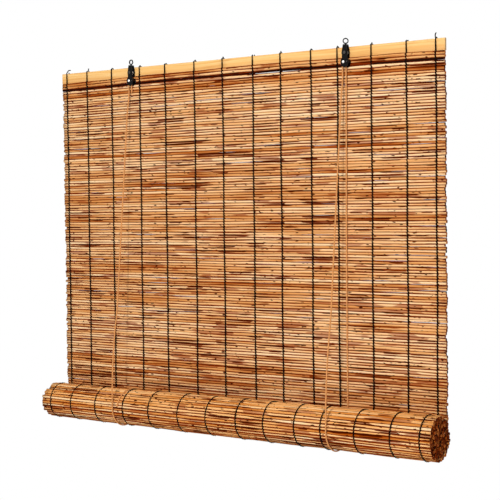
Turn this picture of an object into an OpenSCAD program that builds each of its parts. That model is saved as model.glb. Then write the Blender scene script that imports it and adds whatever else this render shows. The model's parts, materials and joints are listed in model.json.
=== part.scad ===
// Reed roller blind, partly rolled up, hanging from the eyes of two self-locking cord pulleys.
// Millimetres. X to the right, Y to the wall behind, Z up.
// The origin is midway between the two hanging eyes.

/* [Blind] */
// Length of the reeds and of the head batten
blind_w = 900; // [500:10:1800]
// Diameter of one reed
reed_d = 5.8; // [4:0.1:8]
// How far neighbouring reeds press into one another
reed_press = 0.58; // [0.3:0.02:1.2]
// Reeds in the hanging part of the mat
hung_reeds = 129; // [40:1:220]
// How far a reed end may fall short of the full length
ragged = 5; // [0:0.5:8]
// Gaps seen between the reeds
gap_count = 90; // [0:1:110]
// Height of a gap between two reeds
gap_h = 0.9; // [0.4:0.1:1.5]

/* [Head batten] */
// Height of the wooden batten
batten_h = 22; // [16:1:40]
// Thickness of the wooden batten
batten_t = 6; // [4:0.5:12]
// How far the batten's top edge is below the hanging eyes
batten_drop = 10.5; // [9:0.5:20]

/* [Roll] */
// Radius from the roll's axis to the middle of its outermost reeds
roll_r = 37.5; // [25:0.5:60]
// Radius at which the innermost turn ends
core_r = 4; // [4:0.5:15]
// How far the rolled reeds stand out beyond the mat at the left end
roll_over = 6; // [0:1:20]
// Air between two turns of the roll
turn_gap = 0.3; // [0.3:0.1:1]

/* [Warp cords] */
// Number of black warp cords
warp_count = 14; // [4:1:24]
// Diameter of a warp cord
warp_d = 2; // [0.8:0.1:2.5]
// Distance of the outer warps from the reed ends
warp_inset = 14; // [8:1:40]
// Length of the loose ends above the batten
warp_tail = 7; // [3:0.5:12]

/* [Lift cords] */
// Diameter of the lift cords
cord_d = 2.8; // [1.5:0.1:3]
// Distance of each pulley from the middle of the blind
pulley_x = 254; // [120:2:800]

/* [Pulleys] */
// Depth of the pulley housing from front to back
case_d = 10; // [9:0.5:16]
// Sheet thickness of the pulley housing
sheet = 1.2; // [0.8:0.1:2]
// Width of the housing at the screw
case_w_top = 12.6; // [11:0.2:16]
// Width of the housing at the sheave
case_w_low = 17; // [16:0.5:24]
// Radius of the cord's middle line round the sheave
sheave_r = 3.6; // [3.4:0.1:5]
// Hole radius of a hanging eye
eye_r = 3.5; // [2.5:0.1:5]
// Thickness of the eye ring
eye_t = 2.1; // [1.6:0.1:3]
// How far the right eye is turned out of the blind's plane
right_eye_turn = 30; // [0:5:85]

/* [Hidden] */
$fn = 32;

left = -1;
right = 1;
reed_r = reed_d / 2;
reed_pitch = reed_d - reed_press;
warp_r = warp_d / 2;
cord_r = cord_d / 2;
// Play of a turning fit, and room between pieces that only pass each other
fit = 0.05;
room = 0.3;
// How far a cutting body stands out of the piece it cuts
cut = 1;

// Heights and depths of the head
case_y = case_d / 2;
batten_top = -batten_drop;
batten_low = batten_top - batten_h;
mat_y = case_y + batten_t / 2;
batten_back = case_y + batten_t;
first_z = batten_low - reed_r - room / 3;
last_z = first_z - (hung_reeds - 1) * reed_pitch;

// The roll is a spiral of quarter arcs; its four centres are the corners of a small square
turn_t = reed_d + turn_gap;
quarter_step = turn_t / 4;
roll_y = mat_y - roll_r;
roll_z = last_z - turn_t;
quarters = floor((roll_r - core_r) / quarter_step);
function quarter_r(k) = roll_r - k * quarter_step;
function quarter_y(k) = k % 4 < 2 ? 0 : -quarter_step;
function quarter_z(k) = (k % 4 == 1 || k % 4 == 2) ? -quarter_step : 0;
function quarter_len(k) = quarter_r(k) * PI / 2;
function spiral_len(k) = k < 0 ? 0 : quarter_len(k) + spiral_len(k - 1);
function spiral_at(s, k) =
  s > quarter_len(k) ? spiral_at(s - quarter_len(k), k + 1)
  : let (f = 90 * k + 90 * s / quarter_len(k))
    [quarter_y(k) + quarter_r(k) * cos(f), quarter_z(k) - quarter_r(k) * sin(f)];
rolled_reeds = floor(spiral_len(quarters - 1) / reed_pitch);

// Uneven reed ends and places of the gaps
hung_short = rands(0, ragged, 2 * hung_reeds, 11);
roll_short = rands(0, ragged, 2 * rolled_reeds, 12);
gap_reach = 0.46;
gap_mid = rands(-gap_reach, gap_reach, max(1, gap_count), 13);
gap_short = 40;
gap_long = 110;
gap_len = rands(gap_short, gap_long, max(1, gap_count), 14);

// Places of the warps, moved aside where a pulley would stand on one
warp_shift = [0, -0.15, -0.13, -0.01, -0.03, 0.09, 0.12, 0.18, 0.13, 0.15, 0, 0.06, 0.12, -0.03];
warp_span = blind_w - 2 * warp_inset;
warp_step = warp_span / (warp_count - 1);
warp_clear = 4;
pulley_free = case_w_low / 2 + warp_d + warp_clear;
function even_x(i) = -warp_span / 2 + warp_step * (i + warp_shift[i % len(warp_shift)]);
function beside(x, p) = abs(x - p) < pulley_free ? p + (x < p ? -pulley_free : pulley_free) : x;
function warp_x(i) = beside(beside(even_x(i), pulley_x), -pulley_x);
warp_front = case_y - warp_r - fit;
warp_back = batten_back + warp_r + fit;
warp_bend = (warp_back - warp_front) / 2;
nip_r = quarter_r(3) + reed_r;
function nip_height(y) = sqrt(pow(nip_r, 2) - pow(y - room - roll_y + quarter_step, 2));
warp_end_turn = 58;
tail_lean = 2;

// Pulley: eye, case, screw, sheave and lock roller
eye_w = 2.2;
neck_r = 1.8;
neck_head_r = 3;
neck_head_h = 1.2;
neck_h = 0.8;
neck_w = 6.4;
bridge = 2.4;
shoulder = 4.5;
waist_in = 1.6;
waist_w = case_w_top - waist_in;
skirt_in = 3;
skirt_d = case_w_low - skirt_in;
case_h = 42.3;
case_top = -(eye_r + eye_t + neck_h);
case_low = case_top - case_h;
inner_y = case_y - sheet;
bridge_low = case_top - bridge;
screw_r = 2;
screw_head_r = 2.8;
screw_head_h = 1.6;
screw_drop = 11;
screw_z = batten_top - screw_drop;
drive_w = 0.8;
spacer_r = 3.2;
nut_flats_r = 4;
nut_h = 3.2;
thread_end = 1;
sheave_x = -3;
sheave_rise = 10.5;
sheave_z = case_low + sheave_rise;
rivet_r = 1.25;
rivet_head_r = 2.6;
rivet_head_h = 1.3;
sheave_w = 2 * (inner_y - room);
flange_h = 0.8;
flange_r = sheave_r + flange_h;
groove_r = sheave_r - cord_r - room;
groove_w = cord_d + 2 * room;
lock_r = 2.2;
flutes = 10;
flute_r = 0.35;
flute_out = 0.1;
lock_pin_r = 1;
lock_play = 0.1;
lock_travel = 2.4;
lock_tilt = 70;
lock_x = sheave_x + sheave_r + cord_r + lock_r + lock_play;
lock_slot_r = lock_pin_r + lock_play;

// Lift cords: tied round the screw behind the batten, under the roll, up to the sheave
tie_y = batten_back + cord_r + room;
tie_r = screw_r + cord_r + fit;
tie_turn = 275;
nut_y = tie_y + cord_r + room;
cradle_r = tie_y - roll_y;
leg_x = sheave_x - sheave_r;
pull_x = sheave_x + sheave_r;
head_dz = sheave_z - roll_z;
head_away = sqrt(pow(roll_y, 2) + pow(head_dz, 2));
leave_turn = 360 - atan2(head_dz, -roll_y) - acos(cradle_r / head_away);
end_gap_turn = room / cradle_r * 180 / PI;
short_end = 8;
knot_d = 5;
end_knot = 1.7;
end_aside = 11;
end_x = -pulley_x + end_aside;
bead_size = 1.1;
end_from = 187;
end_to = 300;

// A round bar from one point to another
module bar(a, b, d) {
  v = b - a;
  translate(a)
    rotate([0, acos(v[2] / norm(v)), atan2(v[1], v[0])])
      cylinder(d = d, h = norm(v));
}

// An arc of round cord about the X axis, from turn f1 to turn f2, counted from the back downwards
module hoop(r, d, f1, f2) {
  rotate([0, 90, 0])
    rotate([0, 0, 90 - f2])
      rotate_extrude(angle = f2 - f1, $fn = 96)
        translate([r, 0])
          circle(d = d);
}

// A bead of cord at turn f of an arc, where two arcs or a leg and an arc meet
module bead(r, d, f) {
  translate([0, r * cos(f), -r * sin(f)])
    sphere(d = d);
}

module reed(x0, x1, y, z) {
  translate([x0, y, z])
    rotate([0, 90, 0])
      cylinder(d = reed_d, h = x1 - x0);
}

module head_batten() {
  color([0.93, 0.76, 0.46])
    difference() {
      translate([-blind_w / 2, case_y, batten_low])
        cube([blind_w, batten_t, batten_h]);
      for (s = [left, right])
        translate([s * pulley_x, case_y - cut, screw_z])
          rotate([-90, 0, 0])
            cylinder(r = screw_r + fit, h = batten_t + 2 * cut);
    }
}

module reed_mat() {
  color([0.82, 0.6, 0.34])
    difference() {
      for (i = [0:hung_reeds - 1])
        reed(-blind_w / 2 + hung_short[2 * i], blind_w / 2 - hung_short[2 * i + 1],
             mat_y, first_z - i * reed_pitch);
      for (g = [0:1:gap_count - 1])
        let (row = floor((g + 0.5) * (hung_reeds - 1) / gap_count))
          translate([gap_mid[g] * (blind_w - 2 * gap_len[g]), mat_y,
                     first_z - (row + 0.5) * reed_pitch])
            cube([gap_len[g], 2 * reed_d, gap_h], center = true);
    }
}

module reed_roll() {
  color([0.8, 0.54, 0.28])
    for (i = [0:rolled_reeds - 1])
      let (p = spiral_at(i * reed_pitch, 0))
        reed(-blind_w / 2 - roll_over + roll_short[2 * i], blind_w / 2 - roll_short[2 * i + 1],
             roll_y + p[0], roll_z + p[1]);
}

module warp(i) {
  front_low = roll_z + nip_height(warp_front - warp_r);
  color([0.1, 0.07, 0.06])
    translate([warp_x(i), 0, 0]) {
      bar([0, warp_front, front_low], [0, warp_front, batten_top], warp_d);
      bar([0, warp_back, roll_z + room], [0, warp_back, batten_top], warp_d);
      translate([0, (warp_front + warp_back) / 2, batten_top])
        hoop(warp_bend, warp_d, 180, 360);
      bar([0, mat_y, batten_top + warp_bend],
          [i % 2 == 0 ? tail_lean : -tail_lean, mat_y, batten_top + warp_bend + warp_tail], warp_d);
    }
}

module roll_warp(i) {
  lie = reed_r + warp_r + fit;
  color([0.1, 0.07, 0.06])
    translate([warp_x(i), roll_y, roll_z])
      for (k = [0:3])
        translate([0, quarter_y(k), quarter_z(k)]) {
          hoop(quarter_r(k) + lie, warp_d, 90 * k, 90 * k + (k < 3 ? 90 : warp_end_turn));
          if (k > 0)
            bead(quarter_r(k) + lie, bead_size * warp_d, 90 * k);
        }
}

// Blank of the pulley case: sloping shoulders, a round head at the screw, a waist and a round skirt
module case_disc(d, z) {
  translate([0, case_y, z])
    rotate([90, 0, 0])
      cylinder(d = d, h = case_d);
}

module case_blank() {
  translate([0, case_y, 0])
    rotate([90, 0, 0])
      linear_extrude(case_d)
        polygon([
          [-neck_w / 2, case_top],
          [neck_w / 2, case_top],
          [waist_w / 2, screw_z + shoulder],
          [waist_w / 2, sheave_z],
          [-waist_w / 2, sheave_z],
          [-waist_w / 2, screw_z + shoulder]
        ]);
  case_disc(case_w_top, screw_z);
  case_disc(case_w_low, sheave_z);
  case_disc(skirt_d, case_low + skirt_d / 2);
}

module lock_slot() {
  for (t = [0, lock_travel])
    rotate([0, -lock_tilt, 0])
      translate([t, -case_d, 0])
        rotate([-90, 0, 0])
          cylinder(r = lock_slot_r, h = 2 * case_d);
  rotate([0, -lock_tilt, 0])
    translate([0, -case_d, -lock_slot_r])
      cube([lock_travel, 2 * case_d, 2 * lock_slot_r]);
}

module case(side) {
  color([0.05, 0.05, 0.055])
    translate([side * pulley_x, 0, 0])
      difference() {
        case_blank();
        translate([-case_w_low, -inner_y, case_low - cut])
          cube([2 * case_w_low, 2 * inner_y, bridge_low - case_low + cut]);
        translate([0, 0, bridge_low - cut])
          cylinder(r = neck_r + fit, h = bridge + 2 * cut);
        translate([0, -case_d, screw_z])
          rotate([-90, 0, 0])
            cylinder(r = screw_r + fit, h = 2 * case_d);
        translate([sheave_x, -case_d, sheave_z])
          rotate([-90, 0, 0])
            cylinder(r = rivet_r + fit / 2, h = 2 * case_d);
        translate([lock_x, 0, sheave_z])
          lock_slot();
      }
}

module eye(side) {
  rim = eye_t - eye_w / 2;
  color([0.07, 0.07, 0.075])
    translate([side * pulley_x, 0, 0])
      rotate([0, 0, side == right ? right_eye_turn : 0]) {
        rotate([90, 0, 0])
          rotate_extrude($fn = 64) {
            translate([eye_r, -eye_w / 2])
              square([rim, eye_w]);
            intersection() {
              translate([eye_r + rim, 0])
                circle(d = eye_w);
              translate([eye_r + rim, -eye_w / 2])
                square([eye_w, eye_w]);
            }
          }
        translate([0, 0, bridge_low - room - neck_head_h])
          cylinder(r = neck_head_r, h = neck_head_h);
        translate([0, 0, bridge_low - room - neck_head_h])
          cylinder(r = neck_r, h = -(eye_r + eye_t / 2) - bridge_low + room + neck_head_h);
      }
}

module sheave(side) {
  color([0.16, 0.15, 0.15])
    translate([side * pulley_x + sheave_x, 0, sheave_z])
      rotate([90, 0, 0])
        rotate_extrude($fn = 64)
          polygon([
            [rivet_r + fit, -sheave_w / 2],
            [flange_r, -sheave_w / 2],
            [flange_r, -groove_w / 2 - room],
            [groove_r, -groove_w / 2],
            [groove_r, groove_w / 2],
            [flange_r, groove_w / 2 + room],
            [flange_r, sheave_w / 2],
            [rivet_r + fit, sheave_w / 2]
          ]);
}

module sheave_rivet(side) {
  ball_r = (pow(rivet_head_r, 2) + pow(rivet_head_h, 2)) / (2 * rivet_head_h);
  color([0.85, 0.84, 0.82])
    translate([side * pulley_x + sheave_x, 0, sheave_z])
      rotate([90, 0, 0]) {
        translate([0, 0, -case_y])
          cylinder(r = rivet_r, h = case_d);
        translate([0, 0, case_y])
          rotate_extrude()
            intersection() {
              translate([0, rivet_head_h - ball_r])
                circle(r = ball_r, $fn = 96);
              square([rivet_head_r, rivet_head_h]);
            }
      }
}

module lock_roller(side) {
  color([0.2, 0.19, 0.18])
    translate([side * pulley_x + lock_x, 0, sheave_z])
      rotate([90, 0, 0]) {
        difference() {
          cylinder(r = lock_r, h = sheave_w, center = true);
          for (a = [0:flutes - 1])
            rotate([0, 0, a * 360 / flutes])
              translate([lock_r + flute_out, 0, 0])
                cylinder(r = flute_r, h = sheave_w + 2 * cut, center = true);
        }
        translate([0, 0, -case_y + lock_play])
          cylinder(r = lock_pin_r, h = case_d - lock_play + room);
      }
}

module screw(side) {
  color([0.82, 0.82, 0.8])
    translate([side * pulley_x, 0, screw_z])
      rotate([-90, 0, 0])
        difference() {
          union() {
            translate([0, 0, -case_y])
              cylinder(r = screw_r, h = case_y + nut_y + nut_h + thread_end);
            translate([0, 0, -case_y - screw_head_h])
              cylinder(r = screw_head_r, h = screw_head_h);
          }
          for (a = [0, 90])
            rotate([0, 0, a])
              translate([-screw_r, -drive_w / 2, -case_y - screw_head_h - drive_w])
                cube([2 * screw_r, drive_w, 2 * drive_w]);
        }
}

module spacer(side) {
  color([0.7, 0.7, 0.7])
    translate([side * pulley_x, inner_y - fit / 2, screw_z])
      rotate([90, 0, 0])
        difference() {
          cylinder(r = spacer_r, h = 2 * inner_y - fit);
          translate([0, 0, -cut])
            cylinder(r = screw_r + fit, h = 2 * inner_y + 2 * cut);
        }
}

module nut(side) {
  color([0.75, 0.75, 0.74])
    translate([side * pulley_x, nut_y, screw_z])
      rotate([-90, 0, 0])
        difference() {
          cylinder(r = nut_flats_r, h = nut_h, $fn = 6);
          translate([0, 0, -cut])
            cylinder(r = screw_r + fit / 2, h = nut_h + 2 * cut);
        }
}

module cord_back(side) {
  color([0.86, 0.66, 0.4])
    translate([side * pulley_x, 0, 0]) {
      translate([0, tie_y, screw_z])
        rotate([90, 0, 0])
          rotate([0, 0, 180 - tie_turn])
            rotate_extrude(angle = tie_turn, $fn = 48)
              translate([tie_r, 0])
                circle(r = cord_r);
      bar([leg_x, tie_y, roll_z + room], [-tie_r, tie_y, screw_z], cord_d);
      translate([-tie_r, tie_y, screw_z])
        sphere(d = bead_size * cord_d);
    }
}

module cord_front(side) {
  color([0.86, 0.66, 0.4])
    translate([side * pulley_x, 0, 0]) {
      bar([leg_x, roll_y + cradle_r * cos(leave_turn + end_gap_turn),
           roll_z - cradle_r * sin(leave_turn + end_gap_turn)], [leg_x, 0, sheave_z], cord_d);
      translate([sheave_x, 0, sheave_z])
        rotate([90, 0, 0])
          rotate_extrude(angle = 180, $fn = 48)
            translate([sheave_r, 0])
              circle(r = cord_r);
      translate([leg_x, 0, sheave_z])
        sphere(d = bead_size * cord_d);
      if (side == left) {
        bar([pull_x, 0, case_low - short_end], [pull_x, 0, sheave_z], cord_d);
        translate([pull_x, 0, case_low - short_end])
          sphere(d = knot_d);
      }
    }
}

module cord_cradle(side) {
  color([0.86, 0.66, 0.4])
    translate([side * pulley_x + leg_x, roll_y, roll_z])
      hoop(cradle_r, cord_d, 0, leave_turn);
}

module left_cord_end() {
  lie = reed_r + cord_r + fit;
  color([0.86, 0.66, 0.4])
    translate([end_x, roll_y, roll_z]) {
      translate([0, quarter_y(2), quarter_z(2)])
        hoop(quarter_r(2) + lie, cord_d, end_from, 270);
      translate([0, quarter_y(3), quarter_z(3)])
        hoop(quarter_r(3) + lie, cord_d, 270, end_to);
      translate([0, quarter_y(3), quarter_z(3)])
        bead(quarter_r(3) + lie, bead_size * cord_d, 270);
      translate([0, quarter_y(2), quarter_z(2)])
        bead(quarter_r(2) + reed_r + end_knot * cord_r + room, end_knot * cord_d, end_from);
    }
}

// The pull cord hangs from the right sheave and is tucked in between mat and roll
nip_y = mat_y - reed_r - cord_r - room;
nip_z = roll_z + nip_height(nip_y - cord_r);
pull_drop = sheave_z - nip_z;
pull_route = [
  [0, 0, 0], [-0.5, 0.05, 0.1], [-1.5, 0.2, 0.25], [-3, 0.45, 0.45],
  [-4, 0.75, 0.65], [-4.5, 0.92, 0.82], [-4.5, 1, 0.93], [-4.5, 1, 1]
];
cord_sides = 8;

module right_pull_cord() {
  rings = len(pull_route);
  points = [
    for (p = pull_route)
      for (a = [0:cord_sides - 1])
        [pulley_x + pull_x + p[0] + cord_r * cos(a * 360 / cord_sides),
         p[1] * nip_y + cord_r * sin(a * 360 / cord_sides),
         sheave_z - room - p[2] * (pull_drop - room)]
  ];
  sides = [
    for (i = [0:rings - 2])
      for (a = [0:cord_sides - 1])
        let (b = (a + 1) % cord_sides, u = i * cord_sides, v = (i + 1) * cord_sides)
          each [[u + a, u + b, v + b], [u + a, v + b, v + a]]
  ];
  top = [for (a = [0:cord_sides - 1]) cord_sides - 1 - a];
  low = [for (a = [0:cord_sides - 1]) (rings - 1) * cord_sides + a];
  color([0.86, 0.66, 0.4])
    polyhedron(points, concat([top], sides, [low]));
}

head_batten();
reed_mat();
reed_roll();
warp(0);  // warp_1
warp(1);  // warp_2
warp(2);  // warp_3
warp(3);  // warp_4
warp(4);  // warp_5
warp(5);  // warp_6
warp(6);  // warp_7
warp(7);  // warp_8
warp(8);  // warp_9
warp(9);  // warp_10
warp(10);  // warp_11
warp(11);  // warp_12
warp(12);  // warp_13
warp(13);  // warp_14
roll_warp(0);  // roll_warp_1
roll_warp(1);  // roll_warp_2
roll_warp(2);  // roll_warp_3
roll_warp(3);  // roll_warp_4
roll_warp(4);  // roll_warp_5
roll_warp(5);  // roll_warp_6
roll_warp(6);  // roll_warp_7
roll_warp(7);  // roll_warp_8
roll_warp(8);  // roll_warp_9
roll_warp(9);  // roll_warp_10
roll_warp(10);  // roll_warp_11
roll_warp(11);  // roll_warp_12
roll_warp(12);  // roll_warp_13
roll_warp(13);  // roll_warp_14
case(left);  // left_case
eye(left);  // left_eye
sheave(left);  // left_sheave
sheave_rivet(left);  // left_sheave_rivet
lock_roller(left);  // left_lock_roller
screw(left);  // left_screw
spacer(left);  // left_spacer
nut(left);  // left_nut
cord_back(left);  // left_cord_back
cord_front(left);  // left_cord_front
cord_cradle(left);  // left_cord_cradle
case(right);  // right_case
eye(right);  // right_eye
sheave(right);  // right_sheave
sheave_rivet(right);  // right_sheave_rivet
lock_roller(right);  // right_lock_roller
screw(right);  // right_screw
spacer(right);  // right_spacer
nut(right);  // right_nut
cord_back(right);  // right_cord_back
cord_front(right);  // right_cord_front
cord_cradle(right);  // right_cord_cradle
left_cord_end();
right_pull_cord();
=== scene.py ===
"""Looks of a reed roller blind: its reeds one by one, twined warps, cords and batten, and the studio."""
import json
import math

import bpy
import numpy as np
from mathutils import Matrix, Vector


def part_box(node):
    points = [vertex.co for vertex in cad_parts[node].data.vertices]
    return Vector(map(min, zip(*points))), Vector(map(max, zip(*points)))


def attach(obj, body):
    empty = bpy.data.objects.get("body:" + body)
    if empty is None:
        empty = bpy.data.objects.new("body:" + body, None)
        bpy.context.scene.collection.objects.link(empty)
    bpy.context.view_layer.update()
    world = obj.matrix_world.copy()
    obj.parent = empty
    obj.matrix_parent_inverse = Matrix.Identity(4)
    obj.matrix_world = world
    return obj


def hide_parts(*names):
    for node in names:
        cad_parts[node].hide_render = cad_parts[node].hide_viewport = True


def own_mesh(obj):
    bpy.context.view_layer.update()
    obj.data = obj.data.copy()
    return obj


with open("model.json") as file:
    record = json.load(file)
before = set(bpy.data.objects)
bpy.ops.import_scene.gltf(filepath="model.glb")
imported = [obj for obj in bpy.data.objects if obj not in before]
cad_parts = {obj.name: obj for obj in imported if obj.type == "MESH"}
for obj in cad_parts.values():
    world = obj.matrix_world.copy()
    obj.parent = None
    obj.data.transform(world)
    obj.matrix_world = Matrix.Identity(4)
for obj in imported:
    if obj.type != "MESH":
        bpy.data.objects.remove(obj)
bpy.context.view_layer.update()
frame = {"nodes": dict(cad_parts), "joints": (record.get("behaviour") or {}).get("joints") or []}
rng = np.random.default_rng(27)

# A millimetre in metres: shapes are worked out in millimetres, and the scene is in metres
MM = 0.001
TO_RIGHT, TO_WALL, UP = np.eye(3)


def solid_box(node):
    """Lowest and highest corner of a solid, in millimetres."""
    return [np.round(np.array(corner) / MM, 3).tolist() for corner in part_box(node)]


def solid_middle(node):
    """Middle of a solid's box, in millimetres."""
    return np.mean(solid_box(node), 0).tolist()


# Room left between pieces that pass each other
ROOM = 0.3

# Head batten
(BATTEN_LEFT, BATTEN_FRONT, BATTEN_LOW), (BATTEN_RIGHT, BATTEN_BACK, BATTEN_TOP) = solid_box("head_batten")
WIDTH = BATTEN_RIGHT - BATTEN_LEFT

# Hanging reeds: radius, distance from one to the next, their number and the place of the highest
REED_R = 2.9
PITCH = 5.22
HUNG = 129
MAT_Y = (BATTEN_FRONT + BATTEN_BACK) / 2
FIRST_Z = BATTEN_LOW - REED_R - ROOM / 3

# Roll: radius of its outer turn's middle line, its growth from left to right, and the number of reeds
ROLL_R = 37.5
ROLL_TAPER = 5.0
TURN = 2 * REED_R + ROOM
ROLLED = 144
ROLL_Y = MAT_Y - ROLL_R
ROLL_Z = FIRST_Z - (HUNG - 1) * PITCH - TURN
MAT_FOOT = ROLL_Z + TURN - REED_R
LIFT = next(joint for joint in frame["joints"] if joint["name"] == "roll_lift")["range_m"][1] / MM

# Warps, counted from the left, and the radius of a strand on the mat and on the roll
WARPS = np.array([-436, -379, -311, -236, -170, -96, -27, 44.5, 108, 176, 233, 304, 375, 432.5])
TWINE_R = 1.5
ROLL_TWINE_R = 1.35

# Pulleys and lift cords, which bend over the sheaves and round the screws
CORD_R = 1.4
PULLEY_X = solid_middle("right_case")[0]
SHEAVE_DX = solid_middle("right_sheave")[0] - PULLEY_X
SHEAVE_Z = solid_middle("right_sheave")[2]
SHEAVE_BEND_R = 3.6
CASE_LOW = solid_box("right_case")[0][2]
SCREW_Z = solid_middle("right_screw")[2]
TIE_Y = BATTEN_BACK + CORD_R + ROOM
TIE_BEND_R = 3.45
CRADLE_R = TIE_Y - ROLL_Y

# Rings along a reed, corners around it, and how many bands at each end belong to the cut
RINGS = 46
SIDES = 8
CUT_RINGS = 2
ALONG = np.linspace(-WIDTH / 2, WIDTH / 2, RINGS)


# Surfaces
def unit(v):
    """Vectors of length one along the last axis."""
    return v / np.maximum(np.linalg.norm(v, axis=-1, keepdims=True), 1e-12)


def points(x, y, z):
    """Points from their three coordinates, each spread to the shape of all."""
    return np.stack(np.broadcast_arrays(x, y, z), -1)


def sweep(paths, radius, sides, across=TO_RIGHT):
    """Rings of a round tube along each path.

    paths is (tubes, rings, 3). A ring stands square to its path: one axis is the direction across, made
    square to the path's tangent, and the other is square to both. Returns (tubes, rings, sides, 3).
    """
    tangent = unit(np.gradient(paths, axis=1))
    first = unit(across - (across * tangent).sum(-1, keepdims=True) * tangent)
    second = np.cross(tangent, first)
    turn = 2 * np.pi * np.arange(sides) / sides
    ring = np.cos(turn)[:, None] * first[:, :, None, :] + np.sin(turn)[:, None] * second[:, :, None, :]
    radius = np.broadcast_to(np.asarray(radius, float), paths.shape[:2])
    return paths[:, :, None, :] + radius[..., None, None] * ring


def tube_faces(count, length, sides):
    """Corner numbers of the faces of many tubes: four corners between rings, and one face over each end."""
    grid = np.arange(count * length * sides).reshape(count, length, sides)
    turned = np.roll(grid, -1, axis=2)
    quads = np.stack([grid[:, :-1], turned[:, :-1], turned[:, 1:], grid[:, 1:]], -1).reshape(-1, 4)
    lids = np.concatenate([grid[:, 0, ::-1], grid[:, -1]])
    return quads, lids


def tube_uv(rings, lids):
    """UV of each face corner: the way along the rings' middles in metres, and the way around from 0 to 1."""
    count, length, sides = rings.shape[:3]
    step = np.linalg.norm(np.diff(rings.mean(2), axis=1), axis=-1)
    along = np.concatenate([np.zeros((count, 1)), np.cumsum(step, 1)], 1) * MM
    u = np.broadcast_to(along[:, :, None], (count, length, sides))
    v = np.broadcast_to(np.arange(sides) / sides, u.shape)
    next_v = np.broadcast_to((np.arange(sides) + 1) / sides, u.shape)
    u_corners = np.stack([u[:, :-1], u[:, :-1], u[:, 1:], u[:, 1:]], -1)
    v_corners = np.stack([v[:, :-1], next_v[:, :-1], next_v[:, 1:], v[:, 1:]], -1)
    around = np.stack([u_corners.ravel(), v_corners.ravel()], -1)
    over_ends = np.stack([u.ravel()[lids.ravel()], v.ravel()[lids.ravel()]], -1)
    return np.concatenate([around, over_ends])


def piece(name, rings, materials, body, seeds=None, shade=0.0, cut=0, smooth=True):
    """One mesh of tubes that are closed at both ends, riding on a body.

    rings is (tubes, rings, sides, 3) in millimetres. seeds gives each tube a number for its colour, and shade
    says how much darker it is, both for reeds darker at random and for painted shade. The second material is
    on that many bands at each end as cut says, and on the closing faces.
    """
    count, length, sides = rings.shape[:3]
    quads, lids = tube_faces(count, length, sides)
    corners = np.concatenate([quads.ravel(), lids.ravel()])
    starts = np.concatenate([np.arange(len(quads)) * 4, quads.size + np.arange(len(lids)) * sides])
    mesh = bpy.data.meshes.new(name)
    mesh.vertices.add(count * length * sides)
    mesh.vertices.foreach_set("co", (rings.reshape(-1) * MM).astype(np.float32))
    mesh.loops.add(len(corners))
    mesh.loops.foreach_set("vertex_index", corners.astype(np.int32))
    mesh.polygons.add(len(starts))
    mesh.polygons.foreach_set("loop_start", starts.astype(np.int32))
    uv = tube_uv(rings, lids).astype(np.float32)
    mesh.uv_layers.new(name="UVMap").data.foreach_set("uv", uv.ravel())
    if seeds is None:
        seed_step = 0.37
        seeds = np.arange(count) * seed_step % 1.0
    for label, value in (("seed", seeds), ("shade", np.broadcast_to(shade, count))):
        spread = np.repeat(np.asarray(value, np.float32), length * sides)
        mesh.attributes.new(label, "FLOAT", "POINT").data.foreach_set("value", spread)
    for material in materials:
        mesh.materials.append(material)
    bands = np.zeros((count, length - 1, sides), np.int32)
    bands[:, :cut] = 1
    bands[:, length - 1 - cut:] = 1
    closing = np.full(len(lids), min(cut, 1), np.int32)
    mesh.polygons.foreach_set("material_index", np.concatenate([bands.ravel(), closing]))
    mesh.polygons.foreach_set("use_smooth", np.full(len(starts), smooth))
    mesh.update(calc_edges=True)
    mesh.validate()
    obj = bpy.data.objects.new(name, mesh)
    bpy.context.scene.collection.objects.link(obj)
    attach(obj, body)
    return obj


def follow_roll(obj, top, low):
    """Gives the piece a mesh of its own; the share of it that would stay as the roll rises is worked out but
    not used.
    """
    keep = (top - low - LIFT) / (top - low)
    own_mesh(obj)


# Materials
class Value:
    """An output of a node. Arithmetic on it adds the matching Math node."""

    def __init__(self, nodes, socket):
        self.nodes = nodes
        self.socket = socket

    def output(self, name):
        """Another output of the same node."""
        return Value(self.nodes, self.socket.node.outputs[name])

    def __add__(self, other):
        return self.nodes.maths("ADD", self, other)

    def __radd__(self, other):
        return self.nodes.maths("ADD", other, self)

    def __sub__(self, other):
        return self.nodes.maths("SUBTRACT", self, other)

    def __rsub__(self, other):
        return self.nodes.maths("SUBTRACT", other, self)

    def __mul__(self, other):
        return self.nodes.maths("MULTIPLY", self, other)

    def __rmul__(self, other):
        return self.nodes.maths("MULTIPLY", other, self)

    def __abs__(self):
        return self.nodes.maths("ABSOLUTE", self)


class Nodes:
    """A node tree, with one method that adds any kind of node to it."""

    def __init__(self, tree):
        self.tree = tree

    def node(self, kind, sockets, output=0, stops=(), **settings):
        """Adds a node and returns one of its outputs.

        Its settings and a ramp's stops are set first. Then each socket is given a number, a colour or a link.
        """
        made = self.tree.nodes.new(kind)
        for setting, value in settings.items():
            setattr(made, setting, value)
        if stops:
            set_stops(made.color_ramp.elements, stops)
        for socket, value in sockets.items():
            if isinstance(value, Value):
                self.tree.links.new(value.socket, made.inputs[socket])
            else:
                made.inputs[socket].default_value = value
        return Value(self, made.outputs[output])

    def maths(self, operation, *values):
        """A Math node on one or two numbers."""
        return self.node("ShaderNodeMath", dict(enumerate(values)), operation=operation)

    def show(self, value, output_node):
        """Makes a shader what the tree's output node shows."""
        self.tree.links.new(value.socket, self.tree.nodes[output_node].inputs["Surface"])


def linear(rgb):
    """Screen colour to light: the usual display curve undone."""
    share = np.asarray(rgb, float) / 255.0
    return tuple(np.where(share <= 0.04045, share / 12.92, ((share + 0.055) / 1.055) ** 2.4)) + (1.0,)


def set_stops(elements, stops):
    """Gives a ramp its stops, each a position and a screen colour, in rising order."""
    while len(elements) < len(stops):
        elements.new(1.0)
    for element, (position, colour) in zip(elements, stops):
        element.position = position
        element.color = linear(colour)


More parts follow.
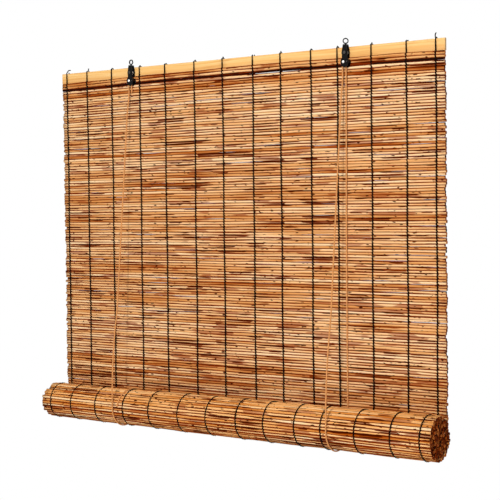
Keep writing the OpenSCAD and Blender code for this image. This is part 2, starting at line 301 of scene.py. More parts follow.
class Look(Nodes):
    """One procedural material and the patterns it is built from."""

    def __init__(self, name, fixed):
        self.material = bpy.data.materials.new(name)
        self.material.use_nodes = True
        super().__init__(self.material.node_tree)
        self.shader = self.tree.nodes["Principled BSDF"]
        for socket, value in fixed.items():
            self.shader.inputs[socket].default_value = value

    def feed(self, sockets):
        """Links patterns to the shader's sockets and returns the material."""
        for socket, value in sockets.items():
            self.tree.links.new(value.socket, self.shader.inputs[socket])
        return self.material

    def attribute(self, name):
        """A number that each tube of the mesh carries."""
        return self.node("ShaderNodeAttribute", {}, "Fac", attribute_name=name)

    def split(self, vector):
        """The three numbers of a vector."""
        parts = self.node("ShaderNodeSeparateXYZ", {0: vector})
        return [parts.output(axis) for axis in "XYZ"]

    def uv(self):
        """The way along a tube in metres and the way around it from 0 to 1."""
        return self.split(self.node("ShaderNodeUVMap", {}, uv_map="UVMap"))[:2]

    def place(self):
        """The three coordinates of the object, in metres."""
        return self.split(self.node("ShaderNodeTexCoord", {}, "Object"))

    def noise(self, x, y, z, detail=3.0, rough=0.6):
        """Noise from 0 to 1 whose patches are about one unit of x, y and z in size."""
        vector = self.node("ShaderNodeCombineXYZ", {0: x, 1: y, 2: z})
        return self.node("ShaderNodeTexNoise",
                         {"Vector": vector, "Scale": 1.0, "Detail": detail, "Roughness": rough})

    def step(self, value, low, high, at_low=0.0, at_high=1.0):
        """A smooth step from at_low to at_high while the value goes from low to high."""
        return self.node("ShaderNodeMapRange", {0: value, 1: low, 2: high, 3: at_low, 4: at_high},
                         interpolation_type="SMOOTHSTEP")

    def ramp(self, value, *stops):
        """The colour for a value, between stops of a position and a screen colour."""
        return self.node("ShaderNodeValToRGB", {0: value}, stops=stops)

    def cover(self, share, below, colour):
        """A share of a screen colour over the pattern below.

        Sockets 0, 6 and 7 are the Mix node's factor and its two colours, and output 2 is the colour it gives.
        """
        return self.node("ShaderNodeMix", {0: share, 6: below, 7: linear(colour)}, 2, data_type="RGBA")

    def bump(self, height, distance, strength):
        """Fine relief from a pattern."""
        return self.node("ShaderNodeBump", {"Height": height, "Distance": distance, "Strength": strength})


def reed_look(name, gold, seam, dashes):
    """Dry reed: a tone of its own, fine fibres, stains and dark dots, and painted shade at each seam and in
    gaps.

    The painted seam shade runs a quarter of the way around from the side that faces the room, and so shows on
    the wall side too, and in short dashes it widens as the painted shade of a gap. gold takes blue out of the
    tones, seam is the usual width of the seam shade, and dashes is the level above which noise is dark, for
    the stains, the gap shade and the dots. Each noise is stretched along the reed, and the seed gives each
    reed its own part of it.
    """
    look = Look(name, {"Roughness": 0.6, "Specular IOR Level": 0.0})
    u, v = look.uv()
    seed = look.attribute("seed")
    own = look.noise(seed * 173.0, 0.5, 0.5, 0.0)
    drift = look.noise(u * 5.0, v * 1.5, seed * 61.0, 2.0)
    fibres = look.noise(u * 7.0, v * 14.0, seed * 37.0)
    # The shade attribute darkens some reeds at random and carries painted shade under the batten, on the gap
    # reed and on the roll's inner turns; the near-black lowest stop is reached mostly by the gap reed.
    tone = own * 0.42 + drift * 0.6 + fibres * 0.5 - 0.235 - look.attribute("shade")
    skin = look.ramp(tone, (0.0, (34, 15, 9)), (0.1, (98, 34, 6)), (0.27, (176, 91 - gold / 2, 32 - gold)),
                     (0.4, (219, 151 - gold / 2, 86 - gold)), (0.52, (243, 189 - gold / 2, 130 - gold)),
                     (0.65, (254, 217 - gold / 2, 170 - gold)), (0.82, (255, 230, 188)))

    # Rust stains and dark dots are the reed's own marks; the seam and gap browns are painted shade.
    rust, painted_seam_shade, painted_gap_shade, dot_brown = (150, 52, 8), (120, 38, 0), (64, 12, 0), (58, 14, 1)
    stain = look.noise(u * 11.0, v * 0.8, seed * 47.0 + 3.0, 1.0)
    skin = look.cover(look.step(stain, dashes + 0.02, dashes + 0.06, 0.0, 0.58), skin, rust)

    # Painted shade between neighbouring reeds: a band at each seam, widened in short dashes where a gap shows
    # dark.
    from_seam = abs(abs(v - 0.5) - 0.25)
    wide = look.noise(u * 9.0, v * 1.2, seed * 29.0 + 1.0, 1.0)
    shaded_gap = look.step(look.noise(u * 13.0, v * 1.6, seed * 91.0 + 7.0, 1.0), dashes, dashes + 0.02)
    edge = from_seam - wide * 0.2 + 0.1 - shaded_gap * 0.07
    skin = look.cover(look.step(edge, seam, seam + 0.045, 0.97, 0.0), skin, painted_seam_shade)
    skin = look.cover(look.step(edge, seam - 0.045, seam, 0.9, 0.0) * shaded_gap, skin, painted_gap_shade)

    dot = look.noise(u * 120.0, v * 6.0, seed * 53.0 + 5.0, 0.0)
    skin = look.cover(look.step(dot, dashes + 0.14, dashes + 0.16, 0.0, 0.95), skin, dot_brown)
    return look.feed({"Base Color": skin, "Normal": look.bump(fibres, 0.0006, 0.6)})


def end_look():
    """Cut reed ends: dark, rough end grain, some reeds paler than others."""
    look = Look("cut_reed_ends", {"Roughness": 0.8, "Specular IOR Level": 0.02})
    x, y, z = look.place()
    own = look.noise(look.attribute("seed") * 211.0, 0.5, 0.5, 0.0)
    grain = look.noise(x * 200.0, y * 420.0, z * 420.0)
    tone = grain * 0.6 + own * 0.9 - 0.25
    return look.feed({"Base Color": look.ramp(tone, (0.3, (22, 5, 1)), (0.5, (136, 52, 14)),
                                              (0.72, (224, 134, 66)))})


def twine_look(name, dark, pale, turns):
    """Twisted cord: a sine that slants around it shows its three strands, with fluff over them."""
    strands = 3
    look = Look(name, {"Roughness": 0.85, "Specular IOR Level": 0.05})
    u, v = look.uv()
    slant = (u * turns + v) * (2.0 * math.pi * strands)
    lay = look.maths("SINE", slant)
    fluff = look.noise(u * 900.0, v * 9.0, look.attribute("seed") * 17.0, 2.0)
    tone = lay * 0.22 + fluff * 0.7 + 0.12
    return look.feed({"Base Color": look.ramp(tone, (0.15, dark), (0.8, pale)),
                      "Normal": look.bump(lay * 0.5 + fluff * 0.5, 0.0004, 0.7)})


def batten_look():
    """Planed softwood: fine grain along the strip, some soiled spots, and darker towards its lower edge."""
    look = Look("planed_batten", {"Roughness": 0.5, "Specular IOR Level": 0.35})
    x, y, z = look.place()
    wave = look.noise(x * 3.0, y * 30.0, z * 60.0, 2.0)
    grain = look.noise(x * 5.0 + wave * 0.4, y * 160.0, z * 260.0 + wave * 5.0, 4.0, 0.65)
    wood = look.ramp(grain, (0.22, (210, 144, 75)), (0.45, (241, 188, 112)), (0.62, (247, 203, 134)),
                     (0.85, (250, 221, 166)))
    soil = look.noise(x * 14.0, y * 20.0, z * 40.0)
    wood = look.cover(look.step(soil, 0.6, 0.8, 0.0, 0.4), wood, (176, 118, 58))
    upper, lower = (BATTEN_TOP - 2.0) * MM, (BATTEN_LOW + 1.0) * MM
    wood = look.cover(look.step(z + wave * 0.008, upper, lower, 0.0, 0.55), wood, (196, 122, 54))
    return look.feed({"Base Color": wood, "Normal": look.bump(grain, 0.0004, 0.5)})


def metal_look(name, dark, pale, metallic, polish, scale, gloss=0.35):
    """Paint or bare metal whose tone and polish vary slightly in small clouds."""
    look = Look(name, {"Metallic": metallic, "Specular IOR Level": gloss})
    x, y, z = look.place()
    cloud = look.noise(x * scale, y * scale, z * scale, 4.0)
    return look.feed({"Base Color": look.ramp(cloud, (0.3, dark), (0.7, pale)),
                      "Roughness": look.step(cloud, 0.3, 0.7, *polish),
                      "Normal": look.bump(cloud, 0.00015, 0.4)})


hung_skin = reed_look("reed_skin", gold=3, seam=0.116, dashes=0.605)
roll_skin = reed_look("rolled_reed_skin", gold=24, seam=0.122, dashes=0.588)
cut_ends = end_look()
warp_twine = twine_look("warp_twine", (5, 2, 1), (26, 14, 8), turns=260.0)
lift_twine = twine_look("lift_twine", (190, 116, 60), (244, 181, 118), turns=160.0)
batten_wood = batten_look()
black_paint = metal_look("black_paint", (2, 2, 2), (8, 8, 8), 0.0, (0.2, 0.36), 500.0, 0.12)
black_nylon = metal_look("black_nylon", (20, 19, 19), (40, 38, 37), 0.0, (0.45, 0.6), 700.0)
dark_steel = metal_look("dark_steel", (60, 58, 55), (96, 92, 88), 1.0, (0.35, 0.5), 900.0)
# Bright plated steel, its colour lifted to near white so the rivet heads, spacers and nuts show a painted
# glint.
bright_steel = metal_look("bright_steel", (236, 235, 231), (255, 255, 252), 0.5, (0.28, 0.42), 900.0)


# Pulleys: the solids themselves are shown
def paint(node, material):
    """Gives a solid one material all over."""
    mesh = frame["nodes"][node].data
    mesh.materials.clear()
    mesh.materials.append(material)


FINISHES = {"case": black_paint, "eye": black_paint, "sheave": black_nylon, "sheave_rivet": bright_steel,
            "lock_roller": dark_steel, "screw": dark_steel, "spacer": bright_steel, "nut": bright_steel}
for side in ("left", "right"):
    for fitting, finish in FINISHES.items():
        paint(f"{side}_{fitting}", finish)


# Reeds, hanging and rolled
def waves(count, x, sizes, lengths):
    """A slow wander along x for each of count reeds: the sum of sine waves with chance sizes and starts."""
    total = np.zeros((count, len(x)))
    for size, length in zip(sizes, lengths):
        phase = rng.uniform(0, 2 * np.pi, (count, 1))
        stretch = rng.uniform(0.7, 1.4, (count, 1))
        height = size * rng.normal(1, 0.35, (count, 1))
        total += height * np.sin(2 * np.pi * x / (length * stretch) + phase)
    return total


def reed_radii(count, mean, most):
    """Chance radii of reeds about a mean, cut off at a least and a most radius."""
    spread, least = 0.16, 2.6
    return np.clip(rng.normal(mean, spread, count), least, most)


def some_darker(count, chance):
    """The same small shade for a chance choice of the reeds, and none for the others."""
    darker = 0.1
    return darker * (rng.random(count) < chance)


def hollow(rim, depth):
    """Two rings that close a cut end: the rim drawn in to a narrow lip, then to the bottom of a hollow."""
    lip_share, bottom_share = 0.4, 0.34
    middle = rim.mean(1, keepdims=True)
    lip = middle + (rim - middle) * lip_share
    bottom = middle + (rim - middle) * bottom_share
    bottom[..., 0] += depth
    return np.stack([lip, bottom], 1)


def reed_rings(y, z, radius, facing, short):
    """Rings of many reeds along X, each with thick and thin stretches, a few joints and hollow ends.

    y and z are given along each reed, facing is the direction in which its room side looks, and short says
    how much it falls short of the full width at its left and right end. Its radius is multiplied by a wave,
    by a taper and, at a joint, by a bulge.
    """
    joint_chance, joint_bulge, hollow_depth = 0.035, 0.13, 4.0
    count = len(radius)
    share = np.linspace(0, 1, RINGS)
    left = -WIDTH / 2 + short[:, :1]
    right = WIDTH / 2 - short[:, 1:]
    x = left + (right - left) * share
    swell = 1 + waves(count, share * WIDTH, (0.035, 0.03), (240, 90))
    taper = 1 + rng.normal(0, 0.09, (count, 1)) * (share - 0.5)
    joints = rng.random((count, RINGS)) < joint_chance
    thick = radius[:, None] * swell * taper * (1 + joint_bulge * joints)
    turn = 2 * np.pi * (np.arange(SIDES) + 0.5) / SIDES - np.pi
    angle = facing[:, None, None] + turn
    body = points(x[:, :, None], y[:, :, None] + thick[:, :, None] * np.cos(angle),
                  z[:, :, None] + thick[:, :, None] * np.sin(angle))
    left_cut = hollow(body[:, 0], hollow_depth)[:, ::-1]
    right_cut = hollow(body[:, -1], -hollow_depth)
    return np.concatenate([left_cut, body, right_cut], 1)


def hung_line(i, x):
    """Height of the middle of hanging reed i: even steps, the top reeds bowed up between the ends."""
    rise, reeds_bowed = 4.6, 14.0
    bow = rise * np.exp(-i / reeds_bowed)
    return FIRST_Z - i * PITCH + bow * (1 - (2 * x / WIDTH) ** 2)


def hung_forward(i):
    """How far hanging reed i stands before the others: the top reeds lean out under the batten."""
    most, reeds_leaning = 1.6, 2.0
    return most * np.exp(-np.maximum(i, 0) / reeds_leaning)


def hang_reeds():
    """The hanging mat: reeds one under the other, painted shade under the batten, and a dark reed as a gap's
    shade.
    """
    gap_shade_reed, gap_shade_reed_r = 2, 2.8
    left_spread, right_spread, longest = 2.2, 1.5, 0.5
    row = np.arange(HUNG)
    radius = reed_radii(HUNG, 3.12, 3.45)
    short = np.abs(rng.normal(0, (left_spread, right_spread), (HUNG, 2))) - longest
    z = hung_line(row[:, None], ALONG) + waves(HUNG, ALONG, (0.28, 0.22), (420, 170))
    y = MAT_Y + waves(HUNG, ALONG, (0.35, 0.25), (380, 150)) - hung_forward(row)[:, None]
    # Painted shade under the batten: the top rows darker.
    shade_under_batten = 0.12 * np.exp(-row / 1.5)
    shade = shade_under_batten + some_darker(HUNG, 0.12)
    # Painted shade of a deep gap near the top: a thin reed made near black, between two paler ones.
    shade[gap_shade_reed - 1:gap_shade_reed + 2] = -0.04, 0.75, -0.1
    radius[gap_shade_reed] = gap_shade_reed_r
    to_room = np.full(HUNG, np.pi)
    rings = reed_rings(y, z, radius, to_room, short)
    reeds = piece("hanging_reeds", rings, [hung_skin, cut_ends], "blind", rng.random(HUNG), shade, CUT_RINGS)
    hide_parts("reed_mat")
    follow_roll(reeds, BATTEN_LOW, MAT_FOOT)


def spiral(s):
    """Point and outward direction of the rolled mat's middle line at length s from where it leaves the mat.

    The line is quarter arcs, each a quarter of a turn's thickness smaller than the one before, about the four
    corners of a small square.
    """
    step = TURN / 4
    quarters = np.arange(4 * int(ROLL_R / TURN) + 4)
    radii = ROLL_R - quarters * step
    least_r = 0.1
    ends = np.concatenate([[0], np.cumsum(np.maximum(radii, least_r) * np.pi / 2)])
    q = np.clip(np.searchsorted(ends, s, side="right") - 1, 0, len(quarters) - 1)
    turn = np.pi / 2 * q + (s - ends[q]) / radii[q]
    centre_y = np.where(q % 4 < 2, 0.0, -step)
    centre_z = np.where((q % 4 == 1) | (q % 4 == 2), -step, 0.0)
    return ROLL_Y + centre_y + radii[q] * np.cos(turn), ROLL_Z + centre_z - radii[q] * np.sin(turn), -turn


def length_to(turn):
    """Length of the spiral from the wall side to a turn in degrees."""
    quarter = np.arange(int(turn // 90) + 1)
    swept = np.minimum(turn - 90 * quarter, 90)
    return float((np.radians(swept) * (ROLL_R - quarter * TURN / 4)).sum())


def thicker(x):
    """How much larger the roll's radius is at x than midway: it grows evenly to the right."""
    return ROLL_TAPER * x / WIDTH


def off_spiral(s, x, lift, slide=0.0):
    """Y and Z at length s of the spiral, lifted off it outwards and slid along it.

    The roll's uneven winding scales them about its axis and keeps its wall side touching the mat.
    """
    y, z, out = spiral(s)
    y = y + np.cos(out) * lift - np.sin(out) * slide
    z = z + np.sin(out) * lift + np.cos(out) * slide
    more = thicker(x)
    grow = 1 + more / ROLL_R
    return ROLL_Y + (y - ROLL_Y) * grow - more, ROLL_Z + (z - ROLL_Z) * grow


def roll_reeds():
    """The rolled mat: reeds one pitch apart along the spiral, longer at the left on the room side."""
    longer_left, left_spread, longer_to_room = 1.5, 3.0, 8.0
    longer_right, right_spread = 3.0, 0.6
    s = np.arange(ROLLED) * PITCH
    out = spiral(s)[2]
    radius = reed_radii(ROLLED, 3.1, 3.4)
    to_room = np.maximum(-np.cos(out), 0)
    short_left = rng.normal(-longer_left, left_spread, ROLLED) - longer_to_room * to_room
    short_right = rng.normal(-longer_right, right_spread, ROLLED)
    lift = waves(ROLLED, ALONG, (0.35, 0.3), (420, 170))
    slide = waves(ROLLED, ALONG, (0.4, 0.3), (420, 190))
    y, z = off_spiral(s[:, None], ALONG, lift, slide)
    # Painted shade on the roll's inner turns, whose sides show dark between the reed ends at the roll's ends.
    inner_turns_shade = 0.3 * (s > length_to(360))
    shade = some_darker(ROLLED, 0.15) + inner_turns_shade - 0.04
    rings = reed_rings(y, z, radius, out, np.stack([short_left, short_right], 1))
    rolled = piece("rolled_reeds", rings, [roll_skin, cut_ends], "roll", rng.random(ROLLED), shade, CUT_RINGS)
    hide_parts("reed_roll")


hang_reeds()
roll_reeds()


# Warps that tie the reeds together: arrays of (warps, strands, points), strand 0 in front at the first reed
TWINE_SIDES = 5
POINTS_PER_REED = 4
WARP_X = WARPS[:, None, None]
STRAND = np.array([0.0, 1.0])[None, :, None]


def twine(name, paths, radius, body):
    """Strands of black twine along their paths."""
    strands = paths.reshape(2 * len(WARPS), -1, 3)
    return piece(name, sweep(strands, radius, TWINE_SIDES), [warp_twine], body)


def crossing(reeds, depth, spread):
    """How far a warp's strands stand out and aside after a number of reeds.

    They change sides at each reed, half a turn apart: a cosine with its tops cut off gives the way out, and a
    sine the way aside.
    """
    steep = 1.5
    phase = np.pi * reeds + np.pi * STRAND
    return depth * np.clip(steep * np.cos(phase), -1, 1), spread * np.sin(phase)


def mat_weave():
    """Paths of the strands down the hanging mat, crossing between its reeds and wandering a little."""
    reeds = np.arange(-1, (HUNG - 1) * POINTS_PER_REED + 1) / POINTS_PER_REED
    out, aside = crossing(reeds, REED_R + 0.6, 1.1)
    wander = 0.5 * np.sin(reeds / 9.0 + WARP_X)
    return points(WARP_X + aside + wander, MAT_Y - out - hung_forward(reeds), hung_line(reeds, WARP_X))


def roll_weave():
    """Paths of the strands on round the roll, crossing between its reeds, as far as they are seen."""
    last_turn = 328
    s = np.arange(0.0, length_to(last_turn), PITCH / POINTS_PER_REED)
    out, aside = crossing(s / PITCH, REED_R + 0.5, 0.8)
    wander = 0.6 * np.sin(s / 45.0 + WARP_X)
    return points(WARP_X + aside + wander, *off_spiral(s, WARP_X, out))


# Height at which the strands bend over the batten, and their places before and behind it
BEND_Z = BATTEN_TOP + 0.6
FACE_Y = np.where(STRAND == 0, BATTEN_FRONT - TWINE_R - 0.1, BATTEN_BACK + TWINE_R + 0.1)


def climb(start):
    """Paths of the strands up the batten: straight, after leaving the reed by a sixth power."""
    low_aside, top_aside = 0.7, 0.2
    share = np.linspace(0, 1, 12)
    start_y, start_z = start[:, :, :1, 1], start[:, :, :1, 2]
    x = WARP_X + np.where(STRAND == 0, low_aside, -low_aside) * (1 - share) + top_aside * share
    y = FACE_Y + (start_y - FACE_Y) * (1 - share) ** 6
    return points(x, y, start_z + (BEND_Z - start_z) * share)


def loose_curls(top_x):
    """Paths of the loose ends over the batten: arcs of a chance length and curl, longer on the outer warps.

    An arc leans by an angle at its start and turns by its curl up to its end. Three front strands have their
    own reach, curl and lean.
    """
    each = (len(WARPS), 2, 1)
    share = np.linspace(0, 1, 16)[1:]
    reach = rng.uniform(1.5, 4.5, each)
    curl = rng.uniform(0.3, 1.2, each) * rng.choice([-1.0, 1.0], each)
    lean = np.zeros(each)
    first, second, last = 0, 1, -1
    for warp, *own in ((first, 13.0, 2.0, 0.0), (second, 7.0, 0.3, 0.15), (last, 11.0, 1.6, -0.8)):
        reach[warp, 0], curl[warp, 0], lean[warp, 0] = own
    x = top_x + reach * (np.cos(lean) - np.cos(lean + curl * share)) / curl
    z = BEND_Z + reach * (np.sin(lean + curl * share) - np.sin(lean)) / curl
    over = np.sin(np.pi / 2 * np.minimum(share * 3, 1))
    return points(x, FACE_Y + (MAT_Y - FACE_Y) * over * rng.uniform(0.3, 1.0, each), z)


def tie_warps():
    """The warps: over the batten, down the mat and round the roll."""
    weave = mat_weave()
    up = climb(weave)
    curls = loose_curls(up[:, :, -1:, 0])
    curl_r, bend_r = 1.1, 1.15
    thinned = np.concatenate([np.full(curls.shape[2], curl_r), np.linspace(bend_r, TWINE_R, up.shape[2])])
    over_batten = np.concatenate([curls[:, :, ::-1], up[:, :, ::-1]], 2)
    warp_ends = twine("warp_ends", over_batten, thinned, "blind")
    warps = twine("hanging_warps", weave, TWINE_R, "blind")
    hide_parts(*[f"warp_{i + 1}" for i in range(len(WARPS))])
    follow_roll(warps, weave[..., 2].max(), MAT_FOOT)
    roll_warps = twine("roll_warps", roll_weave(), ROLL_TWINE_R, "roll")
    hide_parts(*[f"roll_warp_{i + 1}" for i in range(len(WARPS))])


tie_warps()


# Lift cords
CORD_SIDES = 10


def rope(name, path, body, across=TO_RIGHT, replaces=(), knots=()):
    """A twisted cord along a path: a tube, thicker by a bell curve where a knot is tied."""
    knot_reach = CORD_R * 1.3
    radius = np.full(len(path), CORD_R)
    for place, size in knots:
        away = np.linalg.norm(path - np.asarray(place, float), axis=-1)
        radius += size * np.exp(-(away / knot_reach) ** 2)
    obj = piece(name, sweep(path[None], radius[None], CORD_SIDES, across), [lift_twine], body)
    if replaces:
        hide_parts(*replaces)
    return obj


def straight(start, end, step=4.0):
    """Points about one step apart on a straight line."""
    start, end = np.asarray(start, float), np.asarray(end, float)
    count = max(3, int(np.linalg.norm(end - start) / step))
    return start + (end - start) * np.linspace(0, 1, count)[:, None]


def arc(centre, radius, turns, first, second, count):
    """Points of an arc: turns, in degrees, are counted from the first direction towards the second."""
    turn = np.radians(np.linspace(*turns, count))[:, None]
    return np.asarray(centre, float) + radius * (np.cos(turn) * first + np.sin(turn) * second)


def leg_line(top, foot, count=180):
    """Front leg of a lift cord: straight down out of the pulley, then straight to the roll.

    Half a sine wave holds it off a little above the roll, so that the shortened leg of the raised blind
    passes the roll's front.
    """
    drop, hold, hold_from = 0.07, 0.075, 0.7
    share = np.linspace(0, 1, count)
    hold_off = hold * np.sin(np.pi * np.clip((share - hold_from) / (1 - hold_from), 0, 1))
    out = share * (1 - np.exp(-(share / drop) ** 4)) + hold_off
    return points(top[0], top[1] + (foot[1] - top[1]) * out, top[2] + (foot[2] - top[2]) * share)


def turn_to_sheave(middle, radius):
    """Turn, from the wall side down and round, at which a straight line to the sheave leaves an arc."""
    rise = SHEAVE_Z - middle[2]
    toward = math.atan2(rise, -middle[1])
    aside = math.acos(radius / math.hypot(middle[1], rise))
    return 360 - math.degrees(toward + aside)


def lift_cord(name, px, over_end, knots):
    """One lift cord: round the screw, down behind the mat, under the roll, up the front and over the sheave.

    px is its pulley's place, and over_end holds the paths that go on from the sheave.
    """
    leg_x = px + SHEAVE_DX - SHEAVE_BEND_R
    tie = arc((px, TIE_Y, SCREW_Z), TIE_BEND_R, (-95, 180), TO_RIGHT, UP, count=40)
    rope(f"{name}_tie", tie, "blind", TO_WALL)
    back_line = straight((px - TIE_BEND_R, TIE_Y, SCREW_Z), (leg_x, TIE_Y, ROLL_Z))
    back = rope(f"{name}_back_leg", back_line, "blind", replaces=[f"{name}_cord_back"])
    follow_roll(back, SCREW_Z, ROLL_Z)

    under = CRADLE_R + thicker(leg_x)
    middle = (leg_x, TIE_Y - under, ROLL_Z)
    leave = turn_to_sheave(middle, under)
    cradle = arc(middle, under, (0, leave), TO_WALL, -UP, count=70)
    rope(f"{name}_cradle", cradle, "cradle", replaces=[f"{name}_cord_cradle"])

    front_line = leg_line((leg_x, 0, SHEAVE_Z), cradle[-1])
    front = rope(f"{name}_front_leg", front_line, "blind", replaces=[f"{name}_cord_front"])
    follow_roll(front, SHEAVE_Z, cradle[-1, 2])
    over = arc((px + SHEAVE_DX, 0, SHEAVE_Z), SHEAVE_BEND_R, (180, 0), TO_RIGHT, UP, count=30)
    rope(f"{name}_over_sheave", np.concatenate([over, *over_end]), "blind", TO_WALL, knots=knots)


def knotted_end(px):
    """The paths of a cord's end under its sheave, and its knot's place and size."""
    step, knot_drop, tip_drop, knot_size = 1.5, 8, 14, 1.4
    end_x = px + SHEAVE_DX + SHEAVE_BEND_R
    knot = (end_x, 0, CASE_LOW - knot_drop)
    tip = (end_x + 1, -1, CASE_LOW - tip_drop)
    paths = [straight((end_x, 0, SHEAVE_Z), knot, step)[1:], straight(knot, tip, step)[1:]]
    return paths, [(knot, knot_size)]


lift_cord("left", -PULLEY_X, *knotted_end(-PULLEY_X))
lift_cord("right", PULLEY_X, [], [])


# Free cords
FREE_POINTS = np.linspace(0, 1, 36)


def loose_end():
    """A loose end over the roll on the left: back along the spiral, drifting to the left, to a knot."""
    first_turn, last_turn = 300, 187
    end_x, drift, knot_size = -249.5, 13.5, 0.9
    s = np.linspace(length_to(first_turn), length_to(last_turn), len(FREE_POINTS))
    x = end_x + drift * (1 - FREE_POINTS) ** 1.2
    path = points(x, *off_spiral(s, x, REED_R + CORD_R + 0.5))
    cord = rope("left_loose_end", path, "roll", replaces=["left_cord_end"], knots=[(path[-2], knot_size)])


# Route of the pull cord: millimetres aside, share of the way in to the mat and share of the way down
PULL_ROUTE = np.array([[0, 0, 0], [-0.5, 0.05, 0.1], [-1.5, 0.2, 0.25], [-3, 0.45, 0.45], [-4, 0.75, 0.65],
                       [-4.5, 0.92, 0.82], [-4.5, 1, 0.93], [-4.5, 1, 1]])


def pull_cord():
    """The right cord's free length: out of the pulley and down into the nip between mat and roll."""
    aside, inwards, down = PULL_ROUTE.T
    exit_x, exit_z = PULLEY_X + SHEAVE_DX + SHEAVE_BEND_R, SHEAVE_Z - ROOM
    nip_y, nip_z = MAT_Y - REED_R - CORD_R - ROOM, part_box("right_pull_cord")[0].z / MM
    path = points(exit_x + np.interp(FREE_POINTS, down, aside), nip_y * np.interp(FREE_POINTS, down, inwards),
                  exit_z + (nip_z - exit_z) * FREE_POINTS)
    cord = rope("right_pull", path, "blind", replaces=["right_pull_cord"])
    follow_roll(cord, SHEAVE_Z, nip_z)


loose_end()
pull_cord()


# Head batten
def batten_rings():
    """The strip's section, a box with small rounded edges, carried along X.

    Two small sine waves along X lift and lower it, as planed faces wander.
    """
    corner, count = 0.9, 90
    quarter = np.linspace(0, np.pi / 2, 4)
    half_y, half_z = (BATTEN_BACK - BATTEN_FRONT) / 2, (BATTEN_TOP - BATTEN_LOW) / 2
    sign_y, sign_z = np.array([1, -1, -1, 1])[:, None], np.array([1, 1, -1, -1])[:, None]
    turn = quarter + np.arange(4)[:, None] * np.pi / 2
    section_y = (sign_y * (half_y - corner) + corner * np.cos(turn)).ravel()
    section_z = (sign_z * (half_z - corner) + corner * np.sin(turn)).ravel()
    x = np.linspace(BATTEN_LEFT, BATTEN_RIGHT, count)[None, :, None]
    wander = 0.12 * np.sin(x / 61.0) + 0.08 * np.sin(x / 23.0 + 1.0)
    return points(x, MAT_Y + section_y, (BATTEN_TOP + BATTEN_LOW) / 2 + section_z + wander)


batten = piece("head_strip", batten_rings(), [batten_wood], "blind", smooth=False)
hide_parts("head_batten")


# Studio, in metres
scene = bpy.context.scene


def seen_white(nodes, surface, glow_kind):
    """White to the camera, in reflections and through glass, and the given surface to everything else."""
    camera_ray = nodes.node("ShaderNodeLightPath", {}, "Is Camera Ray")
    seen = camera_ray + camera_ray.output("Is Glossy Ray") + camera_ray.output("Is Transmission Ray")
    white = nodes.node(glow_kind, {"Color": (1, 1, 1, 1), "Strength": 1.0})
    return nodes.node("ShaderNodeMixShader", {0: seen, 1: surface, 2: white})


def lay_floor():
    """A pale square floor well below the blind."""
    half, z = 8, -3
    look = Look("studio_floor", {"Roughness": 0.9})
    x, y, height = look.place()
    cloud = look.noise(x * 2.0, y * 2.0, height, 2.0)
    look.feed({"Base Color": look.ramp(cloud, (0.3, (228, 227, 225)), (0.7, (240, 239, 237)))})
    look.show(seen_white(look, Value(look, look.shader.outputs[0]), "ShaderNodeEmission"), "Material Output")
    mesh = bpy.data.meshes.new("floor")
    corners = [(-half, -half, z), (half, -half, z), (half, half, z), (-half, half, z)]
    mesh.from_pydata(corners, [], [(0, 1, 2, 3)])
    mesh.materials.append(look.material)
    floor = bpy.data.objects.new("floor", mesh)
    scene.collection.objects.link(floor)


def light_sky():
    """A weak, slightly warm light from all around."""
    world = bpy.data.worlds.new("studio")
    world.use_nodes = True
    nodes = Nodes(world.node_tree)
    sky = world.node_tree.nodes["Background"]
    sky.inputs["Color"].default_value = (1.0, 0.985, 0.96, 1)
    sky.inputs["Strength"].default_value = 0.35
    nodes.show(seen_white(nodes, Value(nodes, sky.outputs[0]), "ShaderNodeBackground"), "World Output")
    scene.world = world


def lamp(name, place, aim, size, power, colour=(1, 1, 1)):
    """A round lamp turned from its place towards a point."""
    data = bpy.data.lights.new(name, "AREA")
    data.shape = "DISK"
    data.size = size
    data.energy = power
    data.color = colour
    obj = bpy.data.objects.new(name, data)
    scene.collection.objects.link(obj)
    obj.location = place
    way = np.array(aim, float) - np.array(place, float)
    tip = math.acos(-way[2] / np.linalg.norm(way))
    obj.rotation_euler = (tip, 0, math.atan2(way[1], way[0]) - math.pi / 2)


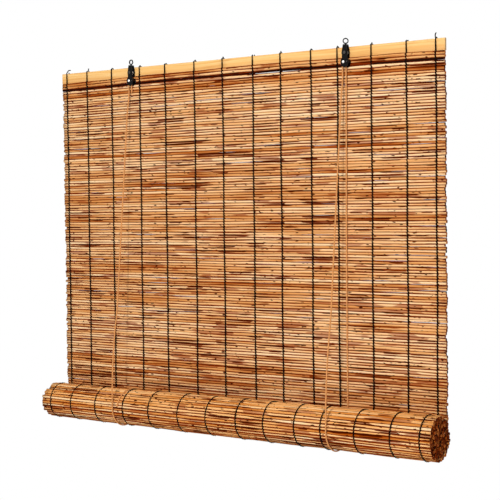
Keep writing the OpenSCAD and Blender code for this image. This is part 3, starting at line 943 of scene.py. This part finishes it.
MAT_MIDDLE = (0, 0, -0.4)
ROLL_MIDDLE = (0, 0, -0.7)
lay_floor()
light_sky()
lamp("key", (0.7, -3.1, 0.5), MAT_MIDDLE, size=0.2, power=62, colour=(1.0, 0.96, 0.9))
lamp("top", (0.6, -1.2, 2.2), MAT_MIDDLE, size=1.6, power=14)
lamp("low", (0.5, -2.2, -2.2), ROLL_MIDDLE, size=1.2, power=17)
lamp("back", (-0.5, 3.0, 0.6), MAT_MIDDLE, size=1.2, power=45, colour=(1.0, 0.97, 0.93))

# Camera, worked out from the batten's and the roll's outlines in the photograph
PHOTO_PIXELS = 500.0
FOCAL_PIXELS = 1219.56
RIGHT_PIXELS = 14.325
DOWN_PIXELS = 8.337
AZIMUTH_DEGREES = 34.54
TILT_DEGREES = 1.433
LEAN_DEGREES = -0.67
LOOKED_AT = (0, 0.005, -0.3705)
AWAY = 2.3995
SENSOR_WIDTH = 36.0


def set_camera():
    """Places the camera: it looks along azimuth and tilt, leans, and turns to the middle of the picture."""
    azimuth, tilt, lean = np.radians([AZIMUTH_DEGREES, TILT_DEGREES, LEAN_DEGREES])
    forward = np.array([-np.sin(azimuth) * np.cos(tilt), np.cos(azimuth) * np.cos(tilt), -np.sin(tilt)])
    level = unit(np.cross(forward, UP))
    upright = np.cross(level, forward)
    right = level * np.cos(lean) + upright * np.sin(lean)
    above = upright * np.cos(lean) - level * np.sin(lean)
    aim = unit(forward + (right * RIGHT_PIXELS - above * DOWN_PIXELS) / FOCAL_PIXELS)
    right = unit(right - (right @ aim) * aim)
    placed = np.eye(4)
    placed[:3, 0] = right
    placed[:3, 1] = np.cross(right, aim)
    placed[:3, 2] = -aim
    placed[:3, 3] = np.array(LOOKED_AT) - forward * AWAY
    camera = bpy.data.objects.new("camera", bpy.data.cameras.new("camera"))
    scene.collection.objects.link(camera)
    camera.matrix_world = placed.T.tolist()
    camera.data.sensor_width = SENSOR_WIDTH
    camera.data.lens = FOCAL_PIXELS / PHOTO_PIXELS * SENSOR_WIDTH
    scene.camera = camera


set_camera()
scene.view_settings.view_transform = "Standard"
